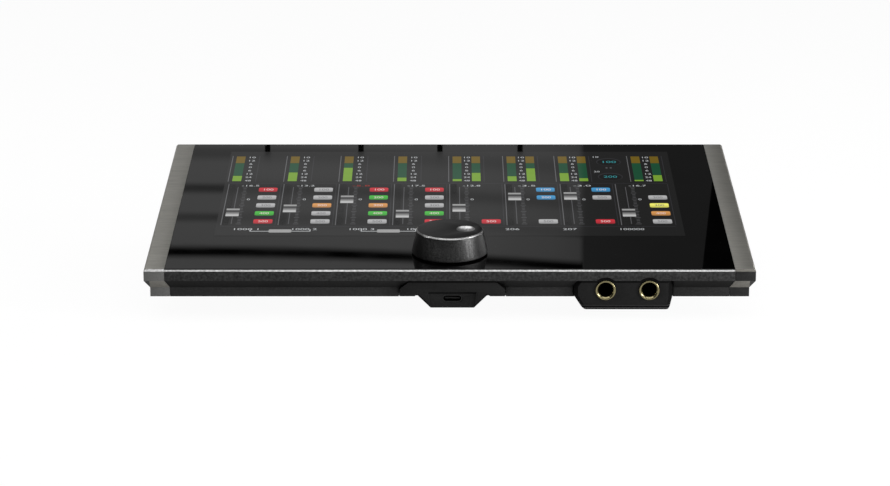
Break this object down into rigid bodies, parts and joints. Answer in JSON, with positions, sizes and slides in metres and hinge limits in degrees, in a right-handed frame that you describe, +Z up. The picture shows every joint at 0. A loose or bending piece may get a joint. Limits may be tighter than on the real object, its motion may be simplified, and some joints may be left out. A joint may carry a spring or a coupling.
{
  "type": "usb audio interface",
  "caption": "Slim desktop audio interface: black glass mixer deck on a wedge base, with a push-and-turn knob, metal cheeks, front USB and headphone sockets, and rear audio and power sockets.",
  "frame": {"origin": "on the table, under the middle of the deck's width and depth", "axes": "+X to the user's right, +Y to the rear, +Z up"},
  "size_m": [0.28, 0.2034, 0.0534],
  "materials": {
    "black_glass": "polished, printed black behind",
    "adhesive": "matte",
    "display_glass": "polished",
    "white_plastic": "matte",
    "bare_aluminium": "rolled sheet",
    "cheek_metal": "satin anodised",
    "black_rubber": "matte",
    "blasted_black": "bead-blasted, anodised black",
    "steel": "plated",
    "dark_steel": "dark plated",
    "knob_metal": "blasted and anodised dark grey",
    "black_plastic": "matte",
    "nose_plastic": "fine satin",
    "button_plastic": "satin",
    "brass": "polished",
    "circuit_board": "solder mask",
    "painted_sheet": "powder coated black",
    "dark_aluminium": "anodised",
    "amber_film": "film"
  },
  "bodies": {
    "chassis": {"cover_glass": "black_glass", "glass_tape": "adhesive", "lcd_panel": "display_glass", "backlight_unit": "white_plastic", "chassis_tray": "bare_aluminium", "left_cheek": "cheek_metal", "right_cheek": "cheek_metal", "left_trim_strip": "black_rubber", "right_trim_strip": "black_rubber", "front_rail": "blasted_black", "rear_rail": "blasted_black", "chassis_screws": "steel", "encoder_bushing": "brass", "encoder_nut": "brass", "encoder_washer": "steel", "encoder_housing": "black_plastic", "encoder_board": "circuit_board", "usb_nose": "nose_plastic", "front_usb_shell": "dark_steel", "front_usb_tongue": "black_plastic", "front_usb_board": "circuit_board", "phones_nose": "nose_plastic", "phones_jack_left": "black_plastic", "phones_jack_right": "black_plastic", "phones_bushing_left": "brass", "phones_bushing_right": "brass", "phones_contacts": "brass", "phones_board": "circuit_board", "nose_screws": "steel", "base_pan": "painted_sheet", "base_screws": "steel", "rubber_feet": "black_rubber", "rear_panel": "painted_sheet", "rear_panel_screws": "steel", "main_board": "circuit_board", "board_standoffs": "brass", "board_screws": "steel", "processor": "black_plastic", "heat_sink": "dark_aluminium", "shield_can": "steel", "capacitors": "black_plastic", "ribbon_socket": "white_plastic", "display_ribbon": "amber_film", "combo_jack_1": "black_plastic", "combo_jack_2": "black_plastic", "combo_jack_3": "black_plastic", "combo_jack_4": "black_plastic", "line_jack_left": "black_plastic", "line_jack_right": "black_plastic", "line_jack_nuts": "steel", "host_usb_shell": "steel", "host_usb_tongue": "black_plastic", "power_inlet": "black_plastic", "power_pin": "steel", "power_switch": "black_plastic"},
    "push_stem": {"push_plunger": "white_plastic"},
    "knob": {"knob_cap": "knob_metal", "knob_hub": "black_plastic", "encoder_shaft": "steel"},
    "power_key": {"power_button": "button_plastic"}
  },
  "joints": [
    {"name": "knob_push", "type": "slide", "parent": "chassis", "child": "push_stem", "axis": [0, 0.1478, -0.989], "range_m": [0, 0.0005], "stiffness_N_per_m": 3000, "springref_m": -0.0005},
    {"name": "knob_turn", "type": "hinge", "parent": "push_stem", "child": "knob", "pos_m": [0, -0.078, 0.03291], "axis": [0, -0.1478, 0.989], "continuous": true},
    {"name": "power_press", "type": "slide", "parent": "chassis", "child": "power_key", "axis": [0, -1, 0], "range_m": [0, 0.0025], "stiffness_N_per_m": 400, "springref_m": -0.002}
  ]
}
